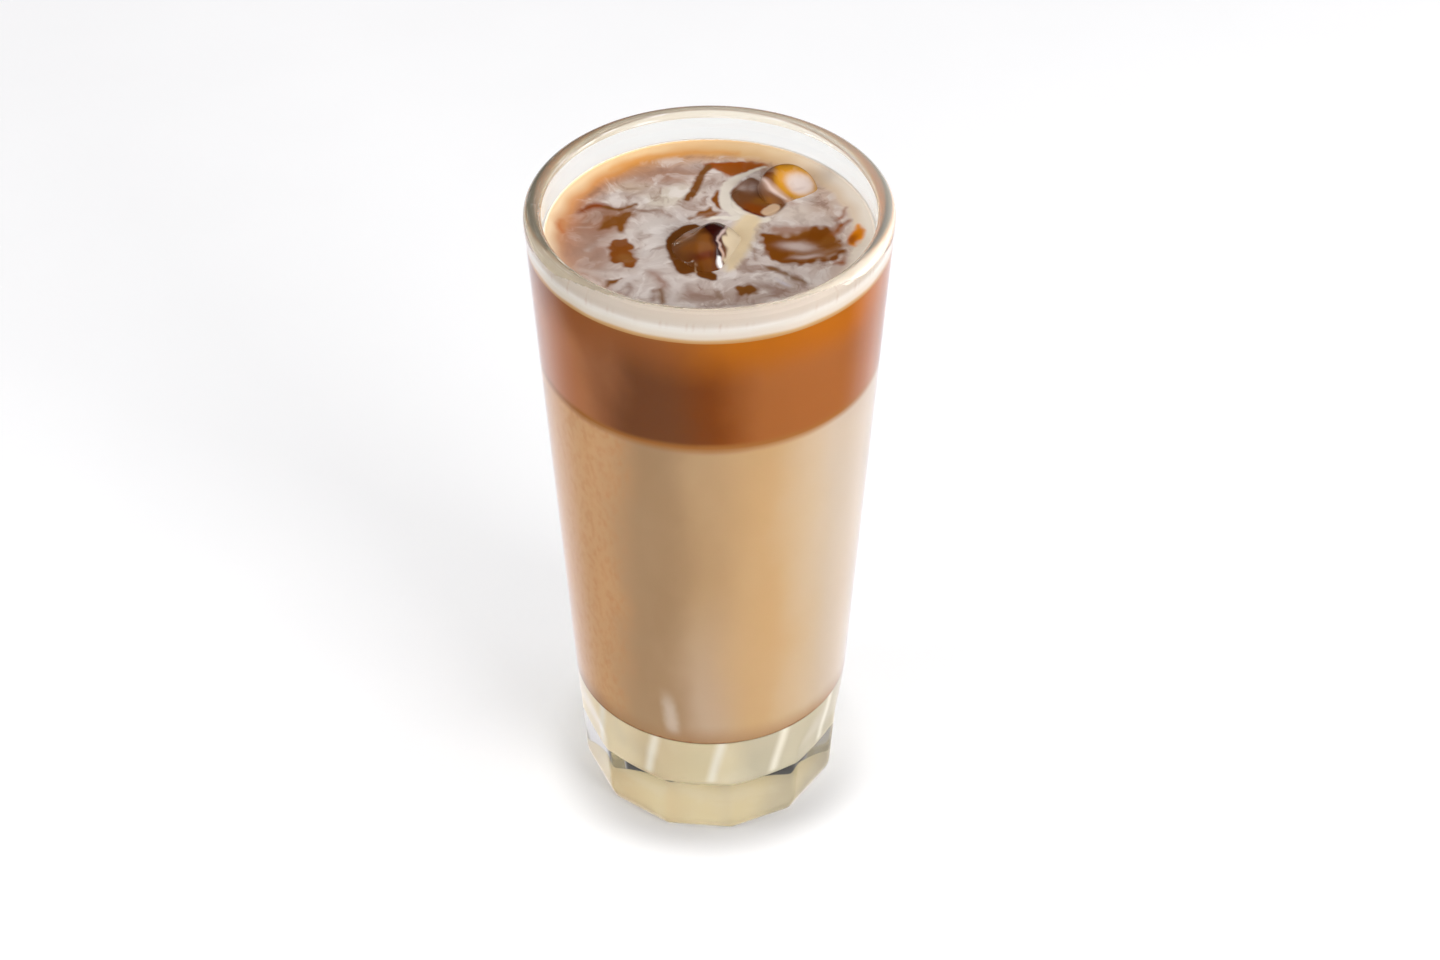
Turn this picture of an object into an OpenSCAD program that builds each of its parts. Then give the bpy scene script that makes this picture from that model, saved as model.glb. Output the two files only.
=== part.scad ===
// Iced latte in a tall pressed glass.
// The glass tapers from a rounded rim to a thick solid base with twelve flats round it.
// Inside lie four layers, sweet milk, latte, coffee and a milky top, with three pieces of ice.
// Z = 0 is the surface it stands on and the Z axis is the axis of the glass.

/* [Glass] */
// Outside height of the glass
glass_h = 155.4; // [125:0.2:190]
// Outside diameter at the rim
rim_d = 76; // [62:0.5:92]
// Diameter across the ridges at the foot
foot_d = 59.2; // [48:0.2:72]
// Thickness of the wall, and of the rounded rim
wall_t = 3.65; // [2.6:0.05:4.5]
// Thickness of the solid base
base_t = 13.5; // [8:0.5:20]
// Radius between the inside wall and the inside floor
floor_fillet = 3; // [1:0.5:6]

/* [Flats round the base] */
// Number of flats
flat_count = 12; // [8:1:16]
// Angle of the middle of the first flat, from +X towards +Y
flat_turn = 24.7; // [0:0.1:45]
// Height at which a flat begins to fade into the round wall
flat_h = 20.5; // [14:0.5:30]
// Height over which a flat fades out
flat_fade_h = 7.5; // [4:0.5:12]
// Height of the slope at the foot
foot_bevel_h = 3.2; // [1:0.1:5]
// How far the foot is drawn in by that slope
foot_bevel_w = 1.1; // [0.4:0.1:2]

/* [Drink] */
// Free height from the surface of the drink to the rim
head_room = 8; // [6:0.1:20]
// Thickness of the milky film that covers the coffee
cream_t = 0.7; // [0.5:0.1:4]
// Width of the ring of milk round the wall
collar_w = 5; // [2:0.1:7]
// How far that ring climbs the wall above the film
collar_h = 1.3; // [0.6:0.1:2.4]
// Thickness of the coffee layer
coffee_t = 28; // [22:0.5:40]
// Thickness of the layer of sweet milk on the floor of the glass
sweet_milk_t = 15.5; // [8:0.5:24]

/* [Ice] */
// Diameter of the largest piece of ice
big_ice_d = 17.5; // [13:0.5:20]
// Length of the largest piece of ice
big_ice_l = 20; // [14:0.5:22]
// Diameter of the ball that rounds its ends
big_ice_ball_d = 23; // [18:0.5:27]
// Height of the middle of the largest piece, below the surface
big_ice_sink = 6.6; // [5:0.1:9]
// Diameter of the two smaller pieces of ice
ice_d = 13; // [10:0.2:15]
// Length of the two smaller pieces of ice
ice_l = 15; // [11:0.5:18]
// Diameter of the ball that rounds their ends
ice_ball_d = 18.8; // [15:0.2:22]
// Height by which the level piece stands out of the drink
level_ice_rise = 0.3; // [0.1:0.1:2]
// Height of the middle of the leaning piece, below the surface
lean_ice_sink = 5; // [4:0.1:8]
// Clear distance from the leaning piece to the wall
ice_wall_gap = 0.8; // [0.5:0.1:5]
// How deep the leaning piece has frozen into the level one
ice_frozen = 5.1; // [1:0.1:6]
// Clear distance between the largest piece and the level one
ice_gap = 2.2; // [0.4:0.1:5]

/* [Hidden] */
$fn = 96;

margin = 1;                                    // overlap that cutters reach past what they cut
rim_r = rim_d / 2;
foot_r = foot_d / 2;
rim_z = glass_h - wall_t / 2;                  // centre of the rounded rim
taper = (rim_r - foot_r) / rim_z;              // growth of the radius for each millimetre of height
lean = atan(taper);
flat_half_angle = 180 / flat_count;

level_z = glass_h - head_room;                 // surface of the drink
coffee_top_z = level_z - cream_t;
latte_top_z = coffee_top_z - coffee_t;
sweet_milk_top_z = base_t + sweet_milk_t;

// Places of the ice: the leaning piece from the wall, the level one from it, the largest from that
lean_ice_way = 50.5;                           // directions in the plane of the surface, from +X
level_ice_way = 228;
big_ice_way = 233.5;
lean_ice_off = inner_r(level_z) - ice_ball_d / 2 - ice_wall_gap;
level_ice_off = ice_d - ice_frozen;
big_ice_off = (big_ice_ball_d + ice_d) / 2 + ice_gap;
lean_ice_xy = lean_ice_off * way(lean_ice_way);
level_ice_xy = lean_ice_xy + level_ice_off * way(level_ice_way);
big_ice_xy = level_ice_xy + big_ice_off * way(big_ice_way);
big_ice_tilt = [10, 52, -10];
lean_ice_tilt = [26, 16, 0];

function way(angle) = [cos(angle), sin(angle)];
function outer_r(z) = foot_r + taper * z;
function inner_r(z) = outer_r(z) - wall_t;
function flat_r(z) = outer_r(z) * cos(flat_half_angle);

// Half outline of the inside of the glass, up to the middle of the rounded rim
module cavity_outline() {
    fillet_x = inner_r(base_t + floor_fillet) - floor_fillet / cos(lean);
    fillet_z = base_t + floor_fillet;
    translate([fillet_x, fillet_z])
        circle(r = floor_fillet);
    polygon([
        [0, base_t],
        [fillet_x, base_t],
        [fillet_x + floor_fillet * cos(lean), fillet_z - floor_fillet * sin(lean)],
        [inner_r(rim_z), rim_z],
        [0, rim_z]
    ]);
}

// Half outline of the glass before the flats are cut
module wall_outline() {
    difference() {
        polygon([[0, 0], [foot_r, 0], [rim_r, rim_z], [0, rim_z]]);
        cavity_outline();
    }
    translate([rim_r - wall_t / 2, rim_z])
        circle(d = wall_t);
}

// What one flat takes away: a slope at the foot, the flat, and the part that fades out above it
module flat_cutter() {
    fade_z = flat_h + flat_fade_h;
    fade_slope = flat_fade_h / (outer_r(fade_z) - flat_r(flat_h));
    far_r = outer_r(fade_z) + margin;
    rotate([90, 0, 0])
        linear_extrude(height = rim_d, center = true)
            polygon([
                [flat_r(0) - foot_bevel_w * (1 + margin / foot_bevel_h), -margin],
                [flat_r(foot_bevel_h), foot_bevel_h],
                [flat_r(flat_h), flat_h],
                [outer_r(fade_z), fade_z],
                [far_r, fade_z + margin * fade_slope],
                [far_r, -margin]
            ]);
}

module glass() {
    color([0.86, 0.9, 0.88, 0.35])
        difference() {
            rotate_extrude()
                wall_outline();
            for (i = [0 : flat_count - 1])
                rotate([0, 0, flat_turn + i * 360 / flat_count])
                    flat_cutter();
        }
}

// A layer of drink that fills the glass between two heights
module layer(low_z, high_z) {
    rotate_extrude()
        intersection() {
            cavity_outline();
            translate([0, low_z])
                square([rim_r, high_z - low_z]);
        }
}

module sweet_milk() {
    color("#e8dab0")
        layer(base_t, sweet_milk_top_z);
}

module latte() {
    color("#cba885")
        layer(sweet_milk_top_z, latte_top_z);
}

module coffee() {
    color("#a8642c")
        difference() {
            layer(latte_top_z, coffee_top_z);
            all_ice();
        }
}

// The milky top: a thin layer, and the hollow-curved ring that climbs the wall
module cream() {
    collar_x = inner_r(level_z) - collar_w;
    collar_r = (collar_w * collar_w + collar_h * collar_h) / (2 * collar_h);
    color("#e6d5c0")
        difference() {
            rotate_extrude()
                intersection() {
                    cavity_outline();
                    difference() {
                        translate([0, coffee_top_z])
                            square([rim_r, cream_t + collar_h]);
                        translate([0, level_z])
                            square([collar_x, collar_h + margin]);
                        translate([collar_x, level_z + collar_r])
                            circle(r = collar_r);
                    }
                }
            all_ice();
        }
}

// A short round piece of ice with its ends melted to a ball
module melted_ice(d, l, ball_d) {
    intersection() {
        cylinder(d = d, h = l, center = true);
        sphere(d = ball_d);
    }
}

module big_ice_shape() {
    translate([big_ice_xy.x, big_ice_xy.y, level_z - big_ice_sink])
        rotate(big_ice_tilt)
            melted_ice(big_ice_d, big_ice_l, big_ice_ball_d);
}

module level_ice_shape() {
    translate([level_ice_xy.x, level_ice_xy.y, level_z + level_ice_rise - ice_l / 2])
        melted_ice(ice_d, ice_l, ice_ball_d);
}

module lean_ice_shape() {
    translate([lean_ice_xy.x, lean_ice_xy.y, level_z - lean_ice_sink])
        rotate(lean_ice_tilt)
            melted_ice(ice_d, ice_l, ice_ball_d);
}

module all_ice() {
    big_ice_shape();
    level_ice_shape();
    lean_ice_shape();
}

module ice_big() {
    color("#7a4a28")
        big_ice_shape();
}

// The leaning piece has frozen into the side of this one
module ice_level() {
    color("#8a5a38")
        difference() {
            level_ice_shape();
            lean_ice_shape();
        }
}

module ice_lean() {
    color("#c08a30")
        lean_ice_shape();
}

glass();
sweet_milk();
latte();
coffee();
cream();
ice_big();
ice_level();
ice_lean();
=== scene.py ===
"""Iced latte in a tall pressed glass: sweet milk, latte, coffee and a marbled milky top with ice.

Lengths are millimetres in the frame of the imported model, unless a comment says metres.
"""

import math

import bmesh
import bpy
import numpy as np
from mathutils import Euler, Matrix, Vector, noise


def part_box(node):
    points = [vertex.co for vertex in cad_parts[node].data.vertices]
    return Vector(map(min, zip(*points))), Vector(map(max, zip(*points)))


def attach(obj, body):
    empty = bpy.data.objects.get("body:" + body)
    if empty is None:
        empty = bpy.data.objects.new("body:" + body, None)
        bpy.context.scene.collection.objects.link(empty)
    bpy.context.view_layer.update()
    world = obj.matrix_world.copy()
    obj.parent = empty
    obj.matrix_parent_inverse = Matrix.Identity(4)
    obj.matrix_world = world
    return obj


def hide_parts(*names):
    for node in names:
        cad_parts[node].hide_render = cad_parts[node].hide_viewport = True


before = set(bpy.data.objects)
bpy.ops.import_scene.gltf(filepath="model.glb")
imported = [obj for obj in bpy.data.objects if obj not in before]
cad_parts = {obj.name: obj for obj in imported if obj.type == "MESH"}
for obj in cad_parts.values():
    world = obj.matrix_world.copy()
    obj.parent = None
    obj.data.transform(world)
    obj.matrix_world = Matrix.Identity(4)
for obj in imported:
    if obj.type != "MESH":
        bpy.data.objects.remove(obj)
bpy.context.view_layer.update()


# ---------------------------------------------------------------------------
# Camera and studio. A white table under a wide overhead softbox, with a softbox
# at each side and the strongest at the front right, seen from 40 degrees above.
# ---------------------------------------------------------------------------
MM = 0.001                                      # metres in a millimetre
camera_data = bpy.data.cameras.new("camera")
camera_data.lens = 70
camera_data.sensor_width = 36
camera = bpy.data.objects.new("camera", camera_data)
camera.location = Vector((2.15, -471.5, 480.3)) * MM
camera.rotation_euler = (math.radians(49.79), 0, 0)
bpy.context.collection.objects.link(camera)
bpy.context.scene.camera = camera
bpy.context.scene.view_settings.view_transform = "Standard"


def colour(code):
    """Linear red, green and blue of a web colour code."""
    parts = [int(code[i:i + 2], 16) / 255 for i in (0, 2, 4)]
    return tuple(p / 12.92 if p < 0.04045 else ((p + 0.055) / 1.055) ** 2.4 for p in parts)


class Thread:
    """An output socket of a finish's nodes. Arithmetic on it adds the nodes that work it out."""

    def __init__(self, finish, socket):
        self.finish = finish
        self.socket = socket

    def math(self, operation, *values):
        return self.finish.node("ShaderNodeMath", {"operation": operation}, dict(enumerate(values)))

    def __add__(self, other):
        return self.math("ADD", self, other)

    def __radd__(self, other):
        return self.math("ADD", other, self)

    def __sub__(self, other):
        return self.math("SUBTRACT", self, other)

    def __rsub__(self, other):
        return self.math("SUBTRACT", other, self)

    def __mul__(self, other):
        return self.math("MULTIPLY", self, other)

    def __rmul__(self, other):
        return self.math("MULTIPLY", other, self)

    def __truediv__(self, other):
        return self.math("DIVIDE", self, other)

    def __rtruediv__(self, other):
        return self.math("DIVIDE", other, self)

    def __pow__(self, other):
        return self.math("POWER", self, other)

    def __rpow__(self, other):
        return self.math("POWER", other, self)

    def __neg__(self):
        return self.math("MULTIPLY", self, -1.0)

    def above(self, low, high):
        """0 below low, 1 above high, and a smooth step between them."""
        return self.finish.node(
            "ShaderNodeMapRange", {"interpolation_type": "SMOOTHSTEP"},
            {"Value": self, "From Min": low, "From Max": high})

    def sine(self):
        return self.math("SINE", self)

    def absolute(self):
        return self.math("ABSOLUTE", self)

    def max(self, other):
        return self.math("MAXIMUM", self, other)


class Finish:
    """The nodes of a new material, or of a world that exists."""

    def __init__(self, name, world=None):
        self.material = world or bpy.data.materials.new(name)
        self.material.use_nodes = True
        self.tree = self.material.node_tree
        self.tree.nodes.clear()

    def node(self, kind, settings=None, sockets=None, output=0):
        """Adds a node: its settings first, then a value or a thread for each of its sockets."""
        node = self.tree.nodes.new(kind)
        for name, value in (settings or {}).items():
            setattr(node, name, value)
        for name, value in (sockets or {}).items():
            if isinstance(value, Thread):
                self.tree.links.new(value.socket, node.inputs[name])
            else:
                node.inputs[name].default_value = value
        return Thread(self, node.outputs[output]) if len(node.outputs) else None

    def place(self):
        """The point on the piece, in millimetres, as a vector."""
        where = self.node("ShaderNodeTexCoord", output="Object")
        return self.node("ShaderNodeVectorMath", {"operation": "SCALE"}, {0: where, "Scale": 1 / MM})

    def axes(self, vector):
        """The three parts of a vector."""
        first = self.node("ShaderNodeSeparateXYZ", None, {0: vector})
        return [Thread(self, output) for output in first.socket.node.outputs]

    def stretched(self, vector, x, y, z):
        """The vector with its three parts multiplied by x, y and z."""
        return self.node("ShaderNodeVectorMath", {"operation": "MULTIPLY"}, {0: vector, 1: (x, y, z)})

    def noise(self, vector, size, detail=3.0, roughness=0.5, distortion=0.0, output="Fac"):
        """Cloudy noise from 0 to 1, whose features are about size millimetres across."""
        return self.node(
            "ShaderNodeTexNoise", None,
            {"Vector": vector, "Scale": 1 / size, "Detail": detail, "Roughness": roughness,
             "Distortion": distortion}, output)

    def warped(self, vector, size, reach):
        """The point pushed about by noise, by up to about half of reach millimetres."""
        push = self.noise(vector, size, 2.0, output="Color")
        centred = self.node(
            "ShaderNodeVectorMath", {"operation": "SUBTRACT"}, {0: push, 1: (0.5, 0.5, 0.5)})
        return self.node(
            "ShaderNodeVectorMath", {"operation": "MULTIPLY_ADD"},
            {0: centred, 1: (reach, reach, reach), 2: vector})

    def mix(self, first, second, share):
        """A colour between two, where share goes from 0 to 1."""
        pair = [(*c, 1) if isinstance(c, tuple) else c for c in (first, second)]
        return self.node(
            "ShaderNodeMix", {"data_type": "RGBA"}, {0: share, 6: pair[0], 7: pair[1]}, 2)

    def bump(self, height, distance, strength=1.0):
        """A normal tilted by the slope of height, where 1 stands distance millimetres proud."""
        return self.node(
            "ShaderNodeBump", None,
            {"Height": height, "Distance": distance * MM, "Strength": strength})

    def surface(self, **sockets):
        """Ends the finish with a Principled shader. Underscores in names stand for spaces."""
        values = {name.replace("_", " "): value for name, value in sockets.items()}
        for name, value in values.items():
            if isinstance(value, tuple) and len(value) == 3 and name != "Normal":
                values[name] = (*value, 1)
        shader = self.node("ShaderNodeBsdfPrincipled", None, values)
        self.node("ShaderNodeOutputMaterial", None, {"Surface": shader})
        return self.material


# Painted light and shadow: the table's emission glows under the clear base, standing in for the light the
# base gathers, and is dimmed to a painted soft shadow close round it, darker at the front
table_side = 3.0                                # metres
table_drop = 0.1                                # keeps the table just clear of the foot
under_foot = (24.0, 27.5)                       # distances from the axis over which the glow ends
shadow_edge = (29.0, 42.0)                      # distances from the axis over which the shadow ends
bpy.ops.mesh.primitive_plane_add(size=table_side, location=(0, 0, -table_drop * MM))
table = bpy.context.object
table.name = "table"
table_finish = Finish("table_white")
table_place = table_finish.place()
table_grain = table_finish.noise(table_place, 40, 2)
off_middle = table_finish.node("ShaderNodeVectorMath", {"operation": "LENGTH"}, {0: table_place}, "Value")
# Painted shadow: the emission is dimmed close round the foot, more at the front than behind
behind = table_finish.axes(table_place)[1].above(-32.0, 4.0)
shade = table_finish.mix((0.0, 0.0, 0.0), (0.32, 0.32, 0.32), behind)
# Painted glow under the foot, where the clear base gathers light
painted_glow_and_shadow = table_finish.mix((1.6, 1.5, 1.4), shade, off_middle.above(*under_foot))
painted_glow_and_shadow = table_finish.mix(painted_glow_and_shadow, (0.45, 0.45, 0.45), off_middle.above(*shadow_edge))
table.data.materials.append(table_finish.surface(
    Base_Color=table_finish.mix(colour("bcbcbc"), colour("c0c0c0"), table_grain), Roughness=0.7,
    Emission_Color=painted_glow_and_shadow, Emission_Strength=1.0))
table.visible_glossy = False


glass_middle = (0, 0, 0.08)                     # metres


def softbox(name, place, width, height, power):
    """A rectangular light that faces the middle of the glass. Its place and size are in metres."""
    data = bpy.data.lights.new(name, "AREA")
    data.shape = "RECTANGLE"
    data.size = width
    data.size_y = height
    data.energy = power
    light = bpy.data.objects.new(name, data)
    light.location = place
    light.rotation_euler = (Vector(glass_middle) - Vector(place)).to_track_quat("-Z", "Y").to_euler()
    bpy.context.collection.objects.link(light)
    return light


softbox("softbox_over", (0.0, -0.05, 1.2), 1.2, 0.7, 3.0)
key = softbox("softbox_key", (0.75, -0.75, 0.4), 0.6, 0.5, 15.0)
softbox("softbox_right", (0.9, 0.1, 0.25), 0.5, 0.5, 4.0)
fill = softbox("softbox_left", (-0.9, -0.2, 0.25), 0.4, 0.5, 8.0)
for light in (key, fill):                       # these two would leave hard glints on the rim
    light.visible_glossy = False

# What the glass reflects and bends: white walls at the front and the right, a dim one on the left,
# and a white sweep low behind
world = bpy.data.worlds.new("studio")
studio = Finish("studio", world)
facing_x, facing_y, facing_z = studio.axes(studio.node("ShaderNodeTexCoord", output="Generated"))
over = facing_z.above(0.55, 0.9)
right = facing_x.above(0.3, 0.8)
left = (-facing_x).above(0.3, 0.8)
front = (-facing_y).above(0.2, 0.8) * facing_x.above(-0.6, 0.3)
upper = (right * 0.9 + left * 0.4 + over * 0.2 + front * 0.8).max(0.06)
lower = facing_y.above(0.1, 0.65) + 0.03
light_here = lower + (upper - lower) * facing_z.above(-0.05, 0.08)
background = studio.node(
    "ShaderNodeBackground", None, {"Color": (0.97, 0.95, 1.0, 1), "Strength": light_here})
studio.node("ShaderNodeOutputWorld", None, {"Surface": background})
bpy.context.scene.world = world


# ---------------------------------------------------------------------------
# The glass: soda-lime glass pressed in a mould, with a fire-polished round rim.
# Twelve flats are pressed into the thick solid base and fade into the round wall.
# ---------------------------------------------------------------------------
glass_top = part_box("glass")[1]
glass_h = glass_top.z / MM
rim_r = glass_top.x / MM
foot_r = 29.6                                   # across the ridges between the flats
wall_t = 3.65
base_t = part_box("sweet_milk")[0].z / MM
floor_fillet = 3.0                              # between the inside wall and the inside floor
flat_count = 12
flat_turn = math.radians(24.7)                  # way the middle of the first flat faces
flat_h = 20.5                                   # where a flat begins to fade into the round wall
flat_fade_h = 7.5
foot_bevel_h = 3.2
foot_bevel_w = 1.1
foot_edge_r = 0.6
hollow_r = 26.0                                 # the underside is slightly hollow
hollow_h = 1.2
rim_z = glass_h - wall_t / 2
taper = (rim_r - foot_r) / rim_z                # growth of the radius for each millimetre of height


def outer_r(z):
    """Outside radius of the round wall at a height."""
    return foot_r + taper * z


def inner_r(z):
    """Inside radius of the wall at a height."""
    return outer_r(z) - wall_t


def soft_min(a, b, blend):
    """The smaller of two lengths, with the corner between them rounded over about blend."""
    return -blend * np.logaddexp(-a / blend, -b / blend)


def faceted_r(angles, z):
    """Outside radius at a height, for each angle: the cone, less the flats, with soft ridges."""
    half = math.pi / flat_count
    off_flat = np.abs((angles - flat_turn + half) % (2 * half) - half)
    flat = outer_r(z) * math.cos(half)
    fade_z = flat_h + flat_fade_h
    fade_r = outer_r(fade_z)
    fade = fade_r + (z - flat_h - flat_fade_h) * (fade_r - outer_r(flat_h) * math.cos(half)) / flat_fade_h
    bevel = foot_r * math.cos(half) - foot_bevel_w + z * (foot_bevel_w / foot_bevel_h + taper)
    middle = soft_min(bevel, -soft_min(-flat, -fade, 0.12), 0.2)
    planes = soft_min(middle / np.cos(off_flat), middle / np.cos(2 * half - off_flat), 0.14)
    return soft_min(outer_r(z), planes, 0.16)


def ring(radius, angles, z):
    """Points round the axis at one height."""
    radius = np.broadcast_to(radius, angles.shape)
    return np.stack([radius * np.cos(angles), radius * np.sin(angles), np.full(angles.shape, z)], axis=1)


def closed_piece(name, rings, start_z, end_z):
    """A closed smooth mesh through rings of points, shut by a point on the axis at each end."""
    rings = np.array(rings)
    count, around = rings.shape[:2]
    points = np.concatenate([rings.reshape(-1, 3), [[0, 0, start_z], [0, 0, end_z]]]) * MM
    first, last = count * around, count * around + 1
    here = np.arange(around)
    after = (here + 1) % around
    faces = [[first, b, a] for a, b in zip(here, after)]
    for row in range(count - 1):
        low, high = row * around, (row + 1) * around
        faces += [[low + a, low + b, high + b, high + a] for a, b in zip(here, after)]
    top = (count - 1) * around
    faces += [[top + a, top + b, last] for a, b in zip(here, after)]
    mesh = bpy.data.meshes.new(name)
    mesh.from_pydata(points.tolist(), [], [[int(i) for i in face] for face in faces])
    mesh.validate()
    mesh.polygons.foreach_set("use_smooth", [True] * len(mesh.polygons))
    mesh.set_sharp_from_angle(angle=math.radians(50))
    piece = bpy.data.objects.new(name, mesh)
    bpy.context.collection.objects.link(piece)
    return piece


def cavity_rows(low, high, step):
    """(radius, height) rows up the inside of the glass, round its floor fillet too."""
    lean = math.atan(taper)
    centre_z = base_t + floor_fillet
    centre_r = inner_r(centre_z) - floor_fillet / math.cos(lean)
    rows = []
    if low < base_t + 0.01:
        for turn in np.linspace(-math.pi / 2, -lean, 9):
            r = centre_r + floor_fillet * math.cos(turn)
            rows.append((r, centre_z + floor_fillet * math.sin(turn)))
        low = rows[-1][1] + step
    count = max(2, int(round((high - low) / step)) + 1)
    rows += [(inner_r(z), z) for z in np.linspace(low, high, count)]
    return rows


def pressed_glass():
    """Rings from the middle of the underside, out and up the wall, over the rim and down the inside."""
    angles = np.linspace(0, 2 * math.pi, 360, endpoint=False)
    rings = []
    for radius in np.linspace(1, hollow_r, 16):
        rings.append(ring(radius, angles, hollow_h * (1 - (radius / hollow_r) ** 2)))
    rings.append(ring(faceted_r(angles, 0) - foot_edge_r, angles, 0))
    for turn in np.linspace(0, math.pi / 2, 6)[1:]:
        z = foot_edge_r * (1 - math.cos(turn))
        rings.append(ring(faceted_r(angles, z) - foot_edge_r * (1 - math.sin(turn)), angles, z))
    heights = np.concatenate([
        np.linspace(foot_edge_r, 5, 15)[1:], np.linspace(5, 18, 20)[1:], np.linspace(18, 31, 40)[1:],
        np.linspace(31, rim_z, 50)[1:-1]])
    rings += [ring(faceted_r(angles, z), angles, z) for z in heights]
    rim_middle = rim_r - wall_t / 2
    for turn in np.linspace(0, math.pi, 25):
        r = rim_middle + wall_t / 2 * math.cos(turn)
        rings.append(ring(r, angles, rim_z + wall_t / 2 * math.sin(turn)))
    rows = cavity_rows(base_t, rim_z, 3.0)
    rings += [ring(r, angles, z) for r, z in reversed(rows[:-1])]
    floor_r = rows[0][0]
    rings += [ring(floor_r * share, angles, base_t) for share in (0.8, 0.5, 0.2)]
    return closed_piece("glass_pressed", rings, hollow_h, base_t)


def rim_finish():
    """The thick round rim gathers light from all round, and this finish paints that light: grey-olive,
    paler to the right where more light falls, with painted light streaks along it.
    """
    f = Finish("glass_rim")
    x, y, z = f.axes(f.place())
    turn = f.node("ShaderNodeMath", {"operation": "ARCTAN2"}, {0: y, 1: x})
    off_axis = (x * x + y * y) ** 0.5
    around = f.node("ShaderNodeCombineXYZ", None, {0: turn * 4.0, 1: off_axis * 1.6, 2: z * 1.6})
    streaks = f.noise(around, 1.0, 3)
    # Painted light: paler to the right, where more light falls, and lighter streaks along the rim
    body = f.mix(colour("b9ae96"), colour("ece4d2"), x.above(-36.0, 36.0))
    body = f.mix(body, colour("f2eee6"), streaks.above(0.5, 0.8))
    return f.surface(Base_Color=body, Roughness=0.0, IOR=1.5, Transmission_Weight=0.6)


glass_finish = Finish("glass_clear")
glass = pressed_glass()
glass.data.materials.append(glass_finish.surface(
    Base_Color=colour("fbfcfa"), Roughness=0.0, IOR=1.5, Transmission_Weight=1.0))
glass.data.materials.append(rim_finish())
# The top of the rim has its own finish of painted light. At the front that stops short of the outside,
# where milk shows
for face in glass.data.polygons:
    x, y, z = face.center / MM
    front = min(max((-y / rim_r - 0.6) / 0.35, 0), 1)
    if z > rim_z + 0.05 * wall_t and math.hypot(x, y) < rim_r - wall_t * 0.55 * front:
        face.material_index = 1
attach(glass, "root")
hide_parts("glass")


# ---------------------------------------------------------------------------
# The drink. Thick sweet milk lies on the floor of the glass, latte stands on it
# and coffee floats on that. Each layer wets the wall, so it reaches just into it.
# ---------------------------------------------------------------------------
wetting = 0.15                                  # how far a layer reaches into the glass
front_share = (-8.0, 22.0)                      # places along y over which the colours of the front end
against_glass = {"Roughness": 0.5, "Specular_IOR_Level": 0.0}   # no gloss of its own behind the glass
sweet_milk_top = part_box("sweet_milk")[1].z / MM
latte_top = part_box("latte")[1].z / MM
coffee_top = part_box("coffee")[1].z / MM


def drink_layer(name, node, low, high, finish):
    """A layer of drink between two heights, which rides on and stands for its CAD node."""
    angles = np.linspace(0, 2 * math.pi, 192, endpoint=False)
    rows = cavity_rows(low, high, 2.0)
    rings = [ring(r + wetting, angles, z) for r, z in rows]
    if low < base_t + 0.01:                     # the lowest layer reaches into the floor as well
        rings = [points - np.array([0, 0, wetting]) for points in rings]
    rings = [rings[0] * np.array([s, s, 1]) for s in (0.3, 0.7)] + rings
    rings += [rings[-1] * np.array([s, s, 1]) for s in (0.7, 0.3)]
    piece = closed_piece(name, rings, rings[0][0][2], rings[-1][0][2])
    piece.data.materials.append(finish)
    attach(piece, "root")
    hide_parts(node)
    return piece


def sweet_milk_finish():
    """Pale yellow, with painted light: upright streaks standing for those the flats of the glass throw on
    it, and painted light and shade across the front.
    """
    f = Finish("sweet_milk")
    p = f.place()
    x, y, z = f.axes(p)
    angle = f.node("ShaderNodeMath", {"operation": "ARCTAN2"}, {0: y, 1: x})
    # Painted light: upright streaks that the flats of the glass would throw on the milk, leaning a little
    # with height
    lean = (z - base_t) * 0.006
    wave = ((angle - (flat_turn + math.radians(5)) - lean) * (flat_count / 2.0)).sine().absolute()
    painted_light_streak = (1 - wave.above(0.0, 0.42)) * z.above(base_t + 0.5, base_t + 3.0)
    clouds = f.noise(f.stretched(p, 1, 1, 0.5), 9, 2)
    # Across the front: paler at the left edge, darker left of the middle, greyer at the right; partly the
    # milk's own uneven colour, partly painted light and shade
    right = f.mix(colour("d9ccaa"), colour("c6bda6"), x.above(2.0, 10.0))
    body = f.mix(colour("d4c29f"), right, x.above(-12.0, -2.0))
    body = f.mix(colour("efe0bf"), body, x.above(-19.0, -12.0))
    body = f.mix(body, colour("e2d8c0"), clouds.above(0.45, 0.75) * 0.5)
    return f.surface(Base_Color=f.mix(body, colour("f4efe2"), painted_light_streak * 0.85), **against_glass)


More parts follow.
